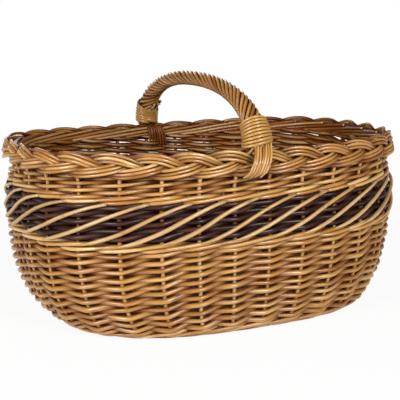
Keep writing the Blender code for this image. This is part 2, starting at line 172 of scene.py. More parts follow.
def plan_slope(point, half_x, half_y):
    """The way that the plan's outline faces at a point on it, before it is made a unit."""
    flat_x = signed_power(point[..., 0] / half_x, CORNER_POWER - 1) / half_x
    flat_y = signed_power(point[..., 1] / half_y, CORNER_POWER - 1) / half_y
    return flat_x, flat_y, np.zeros_like(flat_x)


def wall(distance, climb, off):
    """The wall at a distance round the rim and a climb, moved out by off, and the way it faces there."""
    distance, climb = np.broadcast_arrays(np.asarray(distance, float), np.asarray(climb, float))
    away = np.clip((from_front(distance) / spacing + STRAY_CENTRE) / STRAY_REACH, -1, 1)
    angle = angle_at(distance + STRAY * np.cos(math.pi / 2 * away) ** 2)
    point, half_x, half_y = wall_bare(angle, climb)
    above, below = wall_bare(angle, climb + SLOPE_PROBE)[0], wall_bare(angle, climb - SLOPE_PROBE)[0]
    rising = unit(above - below)
    flat_x, flat_y, level = plan_slope(point, half_x, half_y)
    around = unit(np.stack([-flat_y, flat_x, level], -1))
    outward = unit(np.cross(around, rising))
    return point + outward * np.asarray(off)[..., None], outward


class Bundle:
    """The rods of one piece: tubes with what the willow's finish reads off each of them."""

    # Brings the shade between a rod's side and its inner face up to one at its darkest
    GLOOM_FULL = 2.6

    def __init__(self, name):
        self.name = name
        self.points, self.faces, self.ends = [], [], []
        self.grain, self.tone, self.warmth, self.recess = [], [], [], []
        self.count = 0

    def rod(
        self, path, facing, radius, tone, sides=8, thickness=1.0,
        recess=0.0, inside=None, groove=0.4, gloom=0.0, warmth=None,
    ):
        """Sweeps one rod. Facing is the way its outer face looks, and thickness its depth that way as a
        share of its width. Recess and inside are how hidden each step's outer and inner faces lie, nought
        for open and one for hidden, and they set how much shade is painted into its colour there. Groove
        is how much painted shade its sides get from being hidden by its neighbours, and gloom how dark
        the shade painted beside its inner face goes."""
        path = np.asarray(path, float)
        steps = len(path)
        radius = np.broadcast_to(np.asarray(radius, float), steps)
        along = unit(np.gradient(path, axis=0))
        facing = np.broadcast_to(np.asarray(facing, float), path.shape)
        out = unit(facing - along * (facing * along).sum(-1, keepdims=True))
        across = np.cross(along, out)
        turns = 2 * math.pi * np.arange(sides) / sides
        wide = across[:, None] * np.cos(turns)[None, :, None]
        thick = out[:, None] * np.sin(turns)[None, :, None] * thickness
        ring = path[:, None] + (wide + thick) * radius[:, None, None]
        self.points.append(ring.reshape(-1, 3))

        first = self.count
        rings = first + np.arange(steps - 1)[:, None] * sides
        near = rings + np.arange(sides)[None]
        beside = rings + (np.arange(sides)[None] + 1) % sides
        walls = np.stack([near, beside, beside + sides, near + sides], -1)
        self.faces += walls.reshape(-1, 4).tolist()
        last = first + (steps - 1) * sides
        self.ends.append(list(range(first, first + sides))[::-1])
        self.ends.append(list(range(last, last + sides)))
        self.count += steps * sides

        grain = np.zeros((steps, sides, 3))
        grain[..., 0] = np.cos(turns)[None] * radius[:, None]
        grain[..., 1] = np.sin(turns)[None] * radius[:, None]
        grain[..., 2] = run_along(path)[:, None] + chance.uniform(0, 40)
        self.grain.append(grain.reshape(-1, 3))
        self.tone.append(np.full(steps * sides, np.clip(tone, 0, 1)))
        self.warmth.append(np.full(steps * sides, chance.uniform(0, 1) if warmth is None else warmth))

        # Painted shade: how much shadow colour goes into each step's colour, on hidden faces, along the
        # sides between neighbours and beside the inner face
        looks = np.sin(turns)[None]
        shown = (0.5 + 0.5 * looks) ** 2 * (2 - looks)
        outer = np.broadcast_to(np.asarray(recess, float), steps)[:, None]
        inner = outer if inside is None else np.broadcast_to(np.asarray(inside, float), steps)[:, None]
        hidden = inner + (outer - inner) * shown
        shade = groove * (1 - hidden) + self.GLOOM_FULL * gloom * np.clip(-looks, 0, 1)
        self.recess.append((hidden + (1 - looks**2) * shade).ravel())

    def piece(self, finish, pith, stands_for):
        mesh = bpy.data.meshes.new(self.name)
        mesh.from_pydata(np.concatenate(self.points).tolist(), [], self.faces + self.ends)
        mesh.materials.append(finish)
        mesh.materials.append(pith)
        shaded = np.ones(len(mesh.polygons), bool)
        shaded[len(self.faces):] = False
        mesh.polygons.foreach_set("use_smooth", shaded)
        mesh.polygons.foreach_set("material_index", (~shaded).astype(np.int32))
        for label, kind, field, values in (
            ("grain", "FLOAT_VECTOR", "vector", self.grain),
            ("tone", "FLOAT", "value", self.tone),
            ("warmth", "FLOAT", "value", self.warmth),
            ("recess", "FLOAT", "value", self.recess),
        ):
            layer = mesh.attributes.new(label, kind, "POINT")
            layer.data.foreach_set(field, np.concatenate(values).astype(np.float32).ravel())
        mesh.update()
        made = bpy.data.objects.new(self.name, mesh)
        bpy.context.scene.collection.objects.link(made)
        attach(made, "root")
        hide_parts(*stands_for)


def wander(count, amount, every):
    """A slow random drift over a number of steps, for the give of a hand-laid rod."""
    knots = max(2, int(count / every) + 2)
    values = chance.normal(0, amount, knots)
    places = np.linspace(0, knots - 1, count)
    low = np.minimum(places.astype(int), knots - 2)
    share = smooth(places - low)
    return values[low] * (1 - share) + values[low + 1] * share


def tapered(count, radius, butt, tip):
    """Radius of each step of a rod that thins from butt to tip, with drawn-in ends."""
    drawn_steps = 6
    drawn_in = 0.28
    shares = np.linspace(butt, tip, count) * radius
    steps = np.arange(count)
    nearest = np.minimum(steps, count - 1 - steps)
    return shares * (1 - drawn_in + drawn_in * ramp(nearest, drawn_steps))


def recess_at(off):
    """How hidden a rod lies from the light outside: nought on the weave's face and one behind it."""
    shade_from = 0.0036
    shade_over = 0.0066
    return smooth(ramp(shade_from - off, shade_over))


def inside_at(off):
    """How hidden the same rod lies from the light inside, where all of the wall is in the shade."""
    return 0.28 + 0.40 * recess_at(-off)


# One full stroke of a randed rod over two stakes: how far along, and how far up its row by then
STROKE_PLACES = [0.0, 0.05, 0.30, 0.62, 0.80, 1.00, 1.20, 1.40, 1.66, 2.0]
STROKE_RISES = [0.0, 0.02, 0.26, 0.56, 0.61, 0.63, 0.70, 0.82, 0.94, 1.0]


def rand_rise(share):
    """Height of a rod in strokes, in rows, after a number of stakes, with the kinks rounded a little."""
    total = 0.0
    for nudge in (-0.04, 0.0, 0.04):
        whole = np.floor((share + nudge) / 2)
        total = total + whole + np.interp(share + nudge - 2 * whole, STROKE_PLACES, STROKE_RISES)
    return total / 3


def zigzag(share):
    """Plus one in front of a stake and minus one behind the next, almost straight between them."""
    tight = 0.96
    return np.arcsin(tight * np.cos(math.pi * share)) / math.asin(tight)


def sway(distance, amount):
    """How far the rows ride up along the front, left of its middle, where they were beaten down less.
    Centre and reach are in stake gaps."""
    centre = 1.1
    reach = 3.4
    away = np.clip((distance / spacing + centre) / reach, -1, 1)
    return amount * np.cos(math.pi / 2 * away) ** 2


RAND_STEPS = 16
RAND_LEAD = 1.3
RAND_SHORT = 0.62
RAND_DRIFT = 0.00055
RAND_GIVE = 0.00025
FULLER_BEHIND = 0.42
FULLER_PACKED = 0.25


def packed_at(path):
    """One along the back of the basket, away from its middle, where no light comes through the wall."""
    centre = 0.01
    clear_from_centre = 0.07
    aside = ramp(np.abs(path[:, 0] - centre) - clear_from_centre, 0.04)
    return aside * ramp(path[:, 1], 0.05)


def randing(bundle, low, high, count, radius, tone=0.5, spread=0.11, kink=1.0, swayed=0.0):
    """A rod starts at every stake and goes in front of one stake and behind the next, all the way up.
    Kink is how much of its climb comes in kinks, and swayed how many rows it rides up in front."""
    pitch = (high - low) / count
    steps = int(count * 2 * RAND_STEPS)
    share = np.linspace(-RAND_LEAD, 2 * count - RAND_SHORT, steps)
    rise = kink * rand_rise(share) + (1 - kink) * share / 2
    midway = np.clip(4 * share / (2 * count) * (1 - share / (2 * count)), 0, 1)
    for weaver in range(STAKES):
        distance = STAKE_SHIFT + (weaver + share) * spacing
        rows = 0.5 + rise + midway * sway(from_front(distance), swayed)
        climb = low + pitch * rows + wander(steps, RAND_DRIFT, 13)
        off = WEAVE_OFFSET * zigzag(share) + wander(steps, RAND_GIVE, 12)
        path, outward = wall(distance, climb, off)
        # How far behind the stakes the rod lies: it fills the rod out there and sets its painted shade,
        # outside and inside
        recess = recess_at(off)
        width = tapered(steps, radius * chance.normal(1.0, 0.08), 1.06, 0.94)
        width = width * (1 + FULLER_BEHIND * recess**2 + FULLER_PACKED * packed_at(path))
        shade = chance.normal(tone, spread)
        bundle.rod(path, outward, width, shade, recess=recess, inside=inside_at(off), gloom=0.75)


def wale_off(part):
    """How far out a waling rod stands: in front of two stakes and behind the third."""
    emerging = np.sin(math.pi * (part + 0.5))
    entering = np.cos(math.pi * (part - 1))
    behind = -np.sin(math.pi * (part - 1.5))
    return np.where(part < 0, emerging, np.where(part < 1, 1.0, np.where(part < 1.5, entering, behind)))


WALE_RODS = 3
WALE_LENGTH = 6
WALE_OVERLAP = 0.15
WALE_PROUD = 0.0004


def waling(bundle, middle, lift, radius, tone, turn=0, out=0.0):
    """Three rods that follow each other round, each in front of two stakes and behind one, pieced out
    every six stakes. Turn is the stake that they set off from, and out how far they stand out."""
    steps = 76
    stretch = np.linspace(-1 - WALE_OVERLAP, WALE_LENGTH - 1 + WALE_OVERLAP, steps)
    for weaver in range(WALE_RODS):
        for start in range(0, STAKES, WALE_LENGTH):
            share = stretch + start + 1.5
            part = np.mod(share + 0.5, WALE_RODS) - 0.5
            rounding = -np.cos(math.pi * (part + 0.5) / 2)
            rise = np.where(part < 1.5, rounding, np.cos(math.pi * (part - 1.5)))
            distance = STAKE_SHIFT + (share + weaver + turn) * spacing
            climb = middle + lift * rise + wander(steps, FINE_GIVE, 9)
            off = out + (WEAVE_OFFSET + WALE_PROUD) * wale_off(part)
            path, outward = wall(distance, climb, off)
            width = tapered(steps, radius, 1.05, 0.98)
            shade = chance.normal(tone, 0.11)
            # Painted shade where the rod lies behind the stakes, outside and inside
            recess = recess_at(off)
            bundle.rod(path, outward, width, shade, recess=recess, inside=inside_at(off), gloom=0.75)


lower_wale_low = climb_of(CURVE_HEIGHT - 0.0035) - 0.0068


def make_lower_siding(bundle):
    foot_wale_top = 0.0104
    gap_to_wale = 0.0006
    randing(bundle, foot_wale_top, lower_wale_low + gap_to_wale, 11, 0.00250, kink=0.6, swayed=0.5)


def make_foot_wale(bundle):
    rounds_up = ((-0.0024, 0.0026, 0.45, 2), (0.0024, 0.0028, 0.45, 0), (0.0076, 0.0028, 0.5, 1))
    for climb, lift, tone, turn in rounds_up:
        waling(bundle, climb, lift, 0.0023, tone, turn=turn, out=-0.0004)


def make_lower_wale(bundle):
    waling(bundle, (lower_wale_low + curve_climb) / 2, 0.0034, 0.00235, 0.6)


def make_dark_band(bundle):
    randing(bundle, curve_climb, climb_of(BAND_TOP), 5, 0.0030, tone=0.40, spread=0.2)


def make_upper_wale(bundle):
    waling(bundle, climb_of((BAND_TOP + UPPER_WALE_TOP) / 2), 0.0031, 0.0022, 0.55)


def make_upper_siding(bundle):
    low = climb_of(UPPER_WALE_TOP) + 0.0004
    high = climb_of(0.1838)
    randing(bundle, low, high, 3, 0.0021, kink=0.35)


def make_stakes(bundle):
    """A stake and its bye-stake one behind the other, from the base's rim up to the border."""
    lean_from, lean_over, lean_out = 0.166, 0.012, 0.0045
    front, depth = 0.0012, 0.0032
    band_edge = 0.004
    lower = np.linspace(STAKE_FOOT, curve_climb, 26)
    upper = np.linspace(curve_climb, climb_of(STAKE_TOP), 14)[1:]
    climb = np.concatenate([lower, upper])
    steps = len(climb)
    lean = ramp(climb - climb_of(lean_from), lean_over) ** 2 * lean_out
    in_band = ramp(climb - curve_climb, band_edge) * ramp(climb_of(BAND_TOP) - climb, band_edge)
    for index in range(STAKES):
        for behind in (0, 1):
            beside = behind * 0.0006 + wander(steps, GIVE, 8)
            distance = STAKE_SHIFT + index * spacing + beside
            off = lean + wander(steps, FINE_GIVE, 8) + front - behind * depth
            path, outward = wall(distance, climb, off)
            # Painted shade: in full on the stake behind, a little on the front one and more within the
            # dark band, and most of the way on their inner faces
            recess = 1.0 if behind else 0.15 + 0.70 * in_band
            width = STAKE_RADIUS * chance.normal(1, 0.05)
            bundle.rod(path, outward, width, chance.normal(0.66, 0.08), recess=recess, inside=0.75)


SLOPE_RUN = 0.1070
SLOPE_START = 0.0040
SLOPE_BELOW_BAND = 0.0022
SLOPE_ABOVE_BAND = 0.0004
SLOPE_RADIUS = 0.00228
SLOPE_PROUD = 0.0015
SLOPE_TUCK = 0.0030
SLOPE_FOOT_TUCK = 0.0012


def make_sloping_rods(bundle):
    """The light rods that slope over the dark band, pointed at the foot and tucked in at the top."""
    steps = 40
    low = curve_climb - SLOPE_BELOW_BAND
    high = climb_of(BAND_TOP) + SLOPE_ABOVE_BAND
    share = np.linspace(0, 1, steps)
    foot_bend = 0.045 * ramp(0.12 - share, 0.12) ** 2
    top_bend = 0.05 * ramp(share - 0.88, 0.12) ** 2
    off = WEAVE_REACH + SLOPE_PROUD - SLOPE_TUCK * ramp(share - 0.86, 0.14) ** 2
    off = off - SLOPE_FOOT_TUCK * ramp(0.08 - share, 0.08)
    for index in range(STAKES):
        swing = share + np.sin(2 * math.pi * share) / chance.uniform(25, 45)
        swing = swing - foot_bend + top_bend
        start = STAKE_SHIFT + SLOPE_START + index * spacing + chance.normal(0, 0.0012)
        distance = start + SLOPE_RUN * (1 + chance.normal(0, 0.015)) * swing
        climb = low + chance.normal(0, 0.0006) + (high - low) * share
        path, outward = wall(distance, climb, off + wander(steps, FINE_GIVE, 9))
        width = SLOPE_RADIUS * chance.normal(1, 0.05) * (1 - 0.30 * share**4)
        width = width * np.interp(share, [0, 0.05, 0.12, 1], [0.28, 0.75, 1, 1])
        shade = chance.normal(0.56, 0.09)
        bundle.rod(path, outward, width, shade, groove=0.5, warmth=chance.uniform(0.2, 0.5))


def border_frame(distance):
    """The middle of the border, the way up its face and the way out of its face."""
    angle = angle_at(distance)
    rim_climb = np.full(np.shape(distance), climb_of(WEAVE_TOP))
    base, half_x, half_y = wall_bare(angle, rim_climb)
    flat = unit(np.stack(plan_slope(base, half_x, half_y), -1))
    up_face = UPWARDS * math.cos(BORDER_LEAN) - flat * math.sin(BORDER_LEAN)
    out_face = flat * math.cos(BORDER_LEAN) + UPWARDS * math.sin(BORDER_LEAN)
    at_end = np.abs(base[..., 0] / half_x) ** 3
    at_front = np.clip(0.5 - base[..., 1] / half_y / 2, 0, 1)
    middle = base + flat * (BORDER_OVERHANG + BORDER_FLARE * at_end)[..., None]
    middle[..., 2] += BORDER_CENTRE - WEAVE_TOP + BORDER_FRONT_RISE * at_front
    return middle, up_face, out_face


# One turn of a strand through the plait, over three stakes: how far along, across its face and out of it
PLAIT_PLACES = [0.0, 0.35, 0.60, 0.85, 1.10, 1.35, 1.75, 2.20, 2.50, 2.72, 3.0]
PLAIT_LATERALS = [1.0, 0.86, 0.52, 0.05, -0.60, -1.0, -0.88, -0.42, 0.15, 0.72, 1.0]
PLAIT_DEPTHS = [0.45, 1.0, 0.85, 0.10, -0.75, -0.10, 0.95, 0.85, -0.45, -0.60, 0.45]
PLAIT_TURN = 3


def eased(share, places, values):
    """A smooth curve through the values, which starts again after each turn of the plait."""
    before, after = np.array(places[:-1]) - PLAIT_TURN, np.array(places[1:]) + PLAIT_TURN
    keys = np.concatenate([before, places, after])
    laid = np.concatenate([values[:-1], values, values[1:]])
    total = 0.0
    for nudge in (-0.16, -0.08, 0.0, 0.08, 0.16):
        total = total + np.interp(np.mod(share + nudge, PLAIT_TURN), keys, laid)
    return total / 5


STRAND_SWING = 0.0092
STRAND_LIFT = 0.0046
STRAND_RODS = 3
LANE_PITCH = 0.0037
PLAIT_ROD_RADIUS = 0.00215
PLAIT_ROD_FINER = 0.00030
BENT_STAKE_RISES = (-0.0070, -0.0030, 0.0010, 0.0050)
BENT_STAKE_DEPTH = 0.0058
BENT_STAKE_RADIUS = 0.0023
LEANING_REACH = 3.1
LEANING_FOOT = 0.0034
LEANING_RISE = 0.0116
LEANING_RADIUS = 0.0021


def plait_rods(bundle):
    """Three strands plaited round the rim. A new rod joins at each stake, in the first lane of its
    strand, and moves over one lane with each turn, until it ends."""
    steps = 200
    stretch = PLAIT_TURN * STRAND_RODS
    share = np.linspace(-0.35, stretch + 0.30, steps)
    since = share + 0.75
    lane = np.clip(np.floor(since / PLAIT_TURN), 0, STRAND_RODS)
    settling = smooth(ramp(np.mod(since, PLAIT_TURN), 0.9))
    lane = np.where(lane >= 1, lane - 1 + settling, 0.0)
    beside = (np.minimum(lane, STRAND_RODS - 1) - (STRAND_RODS - 1) / 2) * LANE_PITCH
    turn = share + 1.35
    across = eased(turn, PLAIT_PLACES, PLAIT_LATERALS)
    depth = STRAND_LIFT * eased(turn, PLAIT_PLACES, PLAIT_DEPTHS)
    drawn = np.interp(share, [-0.35, 0.1, stretch - 0.5, stretch + 0.3], [0.8, 1, 0.95, 0.5])
    for index in range(STAKES):
        along_rim = STAKE_SHIFT + (index + share) * spacing
        at_front = np.clip(0.5 - border_frame(along_rim)[0][..., 1] / WALL_HALF_WIDTH / 2, 0, 1)
        lateral = STRAND_SWING * (0.55 + 0.45 * at_front) * across
        slope = np.gradient(lateral, share * spacing)
        lean = 1 / np.sqrt(1 + slope**2)
        middle, up_face, out_face = border_frame(along_rim - beside * slope * lean)
        rise = lateral + beside * lean + wander(steps, GIVE, 12)
        level = depth + wander(steps, GIVE, 12)
        path = middle + up_face * rise[:, None] + out_face * level[:, None]
        width = (PLAIT_ROD_RADIUS - PLAIT_ROD_FINER * at_front) * chance.normal(1, 0.07)
        # Painted shade where the strand dips under the others
        shade_under = ramp(0.0028 - level, 0.0050)
        shade = chance.normal(0.50, 0.13)
        bundle.rod(path, out_face, width * drawn, shade, recess=shade_under, groove=0.6, gloom=0.6)


def make_border(bundle):
    """The plait, the stakes bent down along the rim behind it, which are painted darker than the
    shadow colour and show only as the dark of its gaps, and those that lean over into it from inside,
    one after the other."""
    plait_rods(bundle)
    middle, up_face, out_face = border_frame(np.linspace(0, perimeter, 360))
    for rise in BENT_STAKE_RISES:
        path = middle + up_face * rise - out_face * BENT_STAKE_DEPTH
        # Painted shade past full, so that these stakes show as near black in the plait's gaps
        bundle.rod(path, out_face, BENT_STAKE_RADIUS, 0.3, recess=1.4)
    steps = 30
    share = np.linspace(0, 1, steps)
    level = np.interp(share, [0, 0.4, 1], [-0.0112, -0.0104, -0.0060])
    width = tapered(steps, LEANING_RADIUS, 1.0, 0.9)
    for index in range(STAKES):
        middle, up_face, out_face = border_frame(STAKE_SHIFT + (index - LEANING_REACH * share) * spacing)
        rise = -LEANING_FOOT + LEANING_RISE * share + wander(steps, GIVE, 10)
        path = middle + up_face * rise[:, None] + out_face * level[:, None]
        # Painted shade on the leaning rods, most along their sides
        bundle.rod(path, -out_face, width, chance.normal(0.46, 0.18), recess=0.26, groove=0.9)


def bow_arch(turn):
    share = 2 / BOW_POWER
    y = -BOW_HALF_SPAN * signed_power(np.cos(turn), share)
    z = BOW_SPRING + BOW_RISE * np.abs(np.sin(turn)) ** share
    return np.stack([np.full(np.shape(turn), BOW_SHIFT), y, z], -1)


bow_turns = np.linspace(0, math.pi, 1441)
bow_fine = bow_arch(bow_turns)
bow_run = run_along(bow_fine)
bow_length = bow_run[-1]


def on_bow(distance):
    return np.stack([np.interp(distance, bow_run, bow_fine[:, axis]) for axis in range(3)], -1)


def bow_place(distance):
    """(point, along, outward) of the bow, running straight down below its feet."""
    inside = np.clip(distance, 0, bow_length)
    point = on_bow(inside)
    point[..., 2] -= np.abs(distance - inside)
    ahead = np.clip(distance + BOW_PROBE, 0, bow_length)
    behind = np.clip(distance - BOW_PROBE, 0, bow_length)
    along = unit(on_bow(ahead) - on_bow(behind))
    return point, along, np.cross(RIGHTWARDS, along)


def rope_radius(distance):
    """The handle's radius over its roping, which is fuller towards its feet."""
    crown_radius = 0.0092
    fuller_at_feet = 0.0038
    turn = np.interp(distance, bow_run, bow_turns)
    return crown_radius + fuller_at_feet * np.abs(np.cos(turn)) ** 3


def make_bow(bundle):
    """The thick rod inside the roping, which is painted in full shade and shows only as the dark of its
    grooves.
    """
    leg = 0.030
    distance = np.linspace(-leg, bow_length + leg, 90)
    path, _, outward = bow_place(distance)
    width = np.maximum(rope_radius(distance) - 0.0034, 0.0052)
    bundle.rod(path, outward, width, 0.3, sides=12, recess=1.0)


def make_roping(bundle):
    """Rods wound side by side round the bow, with a longer lay over the crown than at the feet."""
    rods = 10
    steps = 320
    lay_at_feet, lay_added = 0.078, 0.050
    rod_radius, crown_added = 0.00196, 0.0002
    sunk = 0.0024
    distance = np.linspace(-0.004, bow_length + 0.004, steps)
    point, _, outward = bow_place(distance)
    crown = np.sin(math.pi * np.clip(distance / bow_length, 0, 1)) ** 2
    turns = np.cumsum(np.full(steps, distance[1] - distance[0]) / (lay_at_feet + lay_added * crown))
    for index in range(rods):
        angle = 2 * math.pi * (index / rods - turns) + wander(steps, 0.04, 24)
        side = RIGHTWARDS * np.cos(angle)[:, None] + outward * np.sin(angle)[:, None]
        width = (rod_radius + crown_added * crown) * (1 + wander(steps, 0.03, 30))
        path = point + side * (rope_radius(distance) - sunk)[:, None]
        # Painted shade along each rod's sides, in the grooves between the wound rods
        bundle.rod(path, side, width, chance.normal(0.44, 0.05), groove=1.0, warmth=0.4)


def make_binding(bundle, start, length, turns, wides, deep, tilts, snug, tone):
    """A skein wound round a foot of the handle, turn against turn. Wides and tilts are its half width and
    how far its turns slant, at its start and at its end, and snug is its own half width in turns."""
    steps = turns * 24
    share = np.linspace(0, 1, steps)
    point, along, outward = bow_place(start + length * share)
    angle = 2 * math.pi * turns * share
    wide = np.interp(share, [0, 1], wides)
    side = RIGHTWARDS * (np.cos(angle) * wide)[:, None] + outward * (np.sin(angle) * deep)[:, None]
    slant = along * (np.cos(angle) * np.interp(share, [0, 1], tilts))[:, None]
    flat, steep = np.cos(angle) / wide, np.sin(angle) / deep
    facing = unit(RIGHTWARDS * flat[:, None] + outward * steep[:, None])
    width = length / turns * snug * (1 + wander(steps, 0.05, 24))
    bundle.rod(point + side + slant, facing, width, tone, thickness=0.45, groove=0.3, warmth=0.40)


def make_front_binding(bundle):
    make_binding(bundle, 0.0064, 0.0250, 9, (0.0172, 0.0146), 0.0142, (0.0040, 0.0004), 0.58, 0.40)


def make_back_binding(bundle):
    start = bow_length - 0.0225
    make_binding(bundle, start, 0.0255, 7, (0.0142, 0.0142), 0.0136, (0.0026, 0.0026), 0.56, 0.28)


FAN_RODS = 7
FAN_STEPS = 28
FAN_ROD_RADIUS = 0.0016
FAN_ROD_PITCH = 0.0030
FAN_FOOT = 0.1785
FAN_SWEEP = 0.0152
FAN_INSIDE_SWEEP = 0.0060

# Stops of a fan's rods outside and inside the border, by depth from the basket's middle and by height.
# The last outside stop's height is each rod's own
OUTER_DEPTHS = (BOW_HALF_SPAN + 0.0095, BOW_HALF_SPAN + 0.0125, 0.1745, 0.1775, 0.1770, 0.1705)
OUTER_HEIGHTS = (0.2135, 0.2080, 0.2010, 0.1935, 0.1850)
INNER_DEPTHS = (0.1515, 0.1450, 0.1430, 0.1450, 0.1480)
INNER_HEIGHTS = (0.1985, 0.1950, 0.1880, 0.1790, 0.1722)


def fan_path(side, depths, heights, lateral):
    """A smooth way down through the stops, at one place across the fan."""
    keys = run_along(np.stack([depths, heights], -1))
    share = np.linspace(0, keys[-1], FAN_STEPS)
    out = np.interp(share, keys, depths)
    high = np.interp(share, keys, heights)
    for _ in range(3):
        out[1:-1] = (out[:-2] + 2 * out[1:-1] + out[2:]) / 4
        high[1:-1] = (high[:-2] + 2 * high[1:-1] + high[2:]) / 4
    return np.stack([lateral, side * out, high], -1)


def make_fans(bundle, side):
    """The roping's rod ends, laid side by side down over the border, outside and inside."""
    share = np.linspace(0, 1, FAN_STEPS)
    facing = np.array([0.0, side, 0.25])
    sweep = side * FAN_SWEEP * share**1.3
    inside_shift = (side > 0) * 0.0068
    for index in range(FAN_RODS):
        place = index - (FAN_RODS - 1) / 2
        lateral = BOW_SHIFT + 0.0015 + place * (FAN_ROD_PITCH + 0.0003 * share) + sweep
        lateral = lateral + wander(FAN_STEPS, GIVE, 9)
        foot = FAN_FOOT + chance.normal(0, 0.0006)
        path = fan_path(side, OUTER_DEPTHS, (*OUTER_HEIGHTS, foot), lateral)
        width = tapered(FAN_STEPS, FAN_ROD_RADIUS, 1.0, 0.95)
        bundle.rod(path, facing, width, chance.normal(0.60, 0.08), groove=0.6)
        lateral = BOW_SHIFT + inside_shift + place * (FAN_ROD_PITCH + 0.0009 * share)
        lateral = lateral + FAN_INSIDE_SWEEP * share + wander(FAN_STEPS, GIVE, 9)
        path = fan_path(side, INNER_DEPTHS, INNER_HEIGHTS, lateral)
        width = tapered(FAN_STEPS, FAN_ROD_RADIUS, 1.0, 0.9)
        # Painted shade on the rods inside the border, most of the way
        bundle.rod(path, -facing, width, chance.normal(0.4, 0.08), recess=0.88)


def make_front_ends(bundle):
    make_fans(bundle, -1)


def make_back_ends(bundle):
    """The outside and inside rod ends at the back, with the stubs cut off above the binding there."""
    make_fans(bundle, 1)
    stubs, in_row = 9, 3
    above_foot, stub_pitch = 0.0290, 0.0034
    for index in range(stubs):
        distance = bow_length - above_foot - stub_pitch * (index % in_row) + chance.normal(0, 0.0005)
        point, along, outward = bow_place(np.array([distance]))
        angle = math.radians(-38 - 24 * (index // in_row) + chance.normal(0, 3))
        side = RIGHTWARDS * math.cos(angle) + outward[0] * math.sin(angle)
        root = point[0] + side * (rope_radius(distance) - 0.0015)
        reach = unit(side - along[0] * 0.7) * 0.0052
        path = root + reach * np.linspace(0, 1, 4)[:, None]
        # Some painted shade on the cut stubs
        bundle.rod(path, along[0], 0.0013, chance.normal(0.42, 0.08), recess=0.45)


BASE_STICKS = range(-2, 3)
BASE_STICK_LEVEL = 0.0063
BASE_STICK_RADIUS = 0.0032
PACKING_RADIUS = 0.0021
LONG_HALF_LENGTH = 0.0645
LONG_PITCH = 0.0045
CROSS_HALF_LENGTH = 0.0185
CROSS_PITCH = 0.0250
SPOKES = 28
SPOKE_RADIUS = 0.0019
BASE_WEAVE_LEVEL = 0.0048
BASE_WEAVE_LIFT = 0.0022
BASE_WEAVE_RADIUS = 0.0021
BASE_ROUNDS = 30
BASE_EDGE_INSET = 0.0010


def straight(start, end, steps):
    return start + (end - start) * np.linspace(0, 1, steps)[:, None]


def make_base(bundle):
    """Sticks that cross in the middle, with thinner rods packed between the long ones, the spokes that
    they spread into, and rods woven round these to the rim."""
    for index in BASE_STICKS:
        start = np.array([-LONG_HALF_LENGTH, index * LONG_PITCH, BASE_STICK_LEVEL])
        end = np.array([LONG_HALF_LENGTH, index * LONG_PITCH, BASE_STICK_LEVEL])
        radius = PACKING_RADIUS if index % 2 else BASE_STICK_RADIUS
        bundle.rod(straight(start, end, 12), UPWARDS, radius, chance.normal(0.5, 0.06))
    for index in BASE_STICKS:
        start = np.array([index * CROSS_PITCH, -CROSS_HALF_LENGTH, BASE_STICK_LEVEL])
        end = np.array([index * CROSS_PITCH, CROSS_HALF_LENGTH, BASE_STICK_LEVEL])
        bundle.rod(straight(start, end, 8), UPWARDS, BASE_STICK_RADIUS, chance.normal(0.5, 0.06))
    foot_half_x = WALL_HALF_LENGTH - TUCK_AT_ENDS - BASE_EDGE_INSET
    foot_half_y = WALL_HALF_WIDTH - TUCK_AT_SIDES - BASE_EDGE_INSET
    rim = np.array([foot_half_x, foot_half_y])
    middle = np.array([0.0655, 0.0140])
    for index in range(SPOKES):
        turn = np.array(2 * math.pi * (index + 0.5) / SPOKES)
        near, far = plan_point(turn, *middle), plan_point(turn, *rim)
        near[2] = far[2] = BASE_WEAVE_LEVEL
        bundle.rod(straight(near, far, 8), UPWARDS, SPOKE_RADIUS, chance.normal(0.5, 0.06), sides=6)
    turn = np.linspace(0, 2 * math.pi, 170)
    for ring in range(BASE_ROUNDS):
        half_x, half_y = middle + (rim - middle) * (ring + 0.2) / BASE_ROUNDS
        for strand in range(2):
            path = plan_point(turn, half_x, half_y)
            wave = np.sin(SPOKES / 2 * turn + math.pi * (strand + ring))
            path[:, 2] = BASE_WEAVE_LEVEL + BASE_WEAVE_LIFT * wave
            bundle.rod(path, UPWARDS, BASE_WEAVE_RADIUS, chance.normal(0.48, 0.08), sides=6)


class Term:
    """A number on its way through a material, so that its maths reads as Python."""

    def __init__(self, shade, socket):
        self.shade, self.socket = shade, socket

    def maths(self, how, other, clamp=False, turned=False):
        pair = (other, self) if turned else (self, other)
        settings = {"operation": how, "use_clamp": clamp}
        return self.shade.node("ShaderNodeMath", settings, {0: pair[0], 1: pair[1]}).out(0)

    def __add__(self, other):
        return self.maths("ADD", other)

    def __sub__(self, other):
        return self.maths("SUBTRACT", other)

    def __rsub__(self, other):
        return self.maths("SUBTRACT", other, turned=True)

    def __mul__(self, other):
        return self.maths("MULTIPLY", other)

    def __truediv__(self, other):
        return self.maths("DIVIDE", other)

    def held(self):
        """The same number, held between nought and one."""
        return self.maths("MULTIPLY", 1.0, clamp=True)

    __radd__ = __add__
    __rmul__ = __mul__


class Made:
    """A node that has been placed, which hands out its sockets as terms."""

    def __init__(self, shade, node):
        self.shade, self.node = shade, node

    def out(self, which):
        return Term(self.shade, self.node.outputs[which])


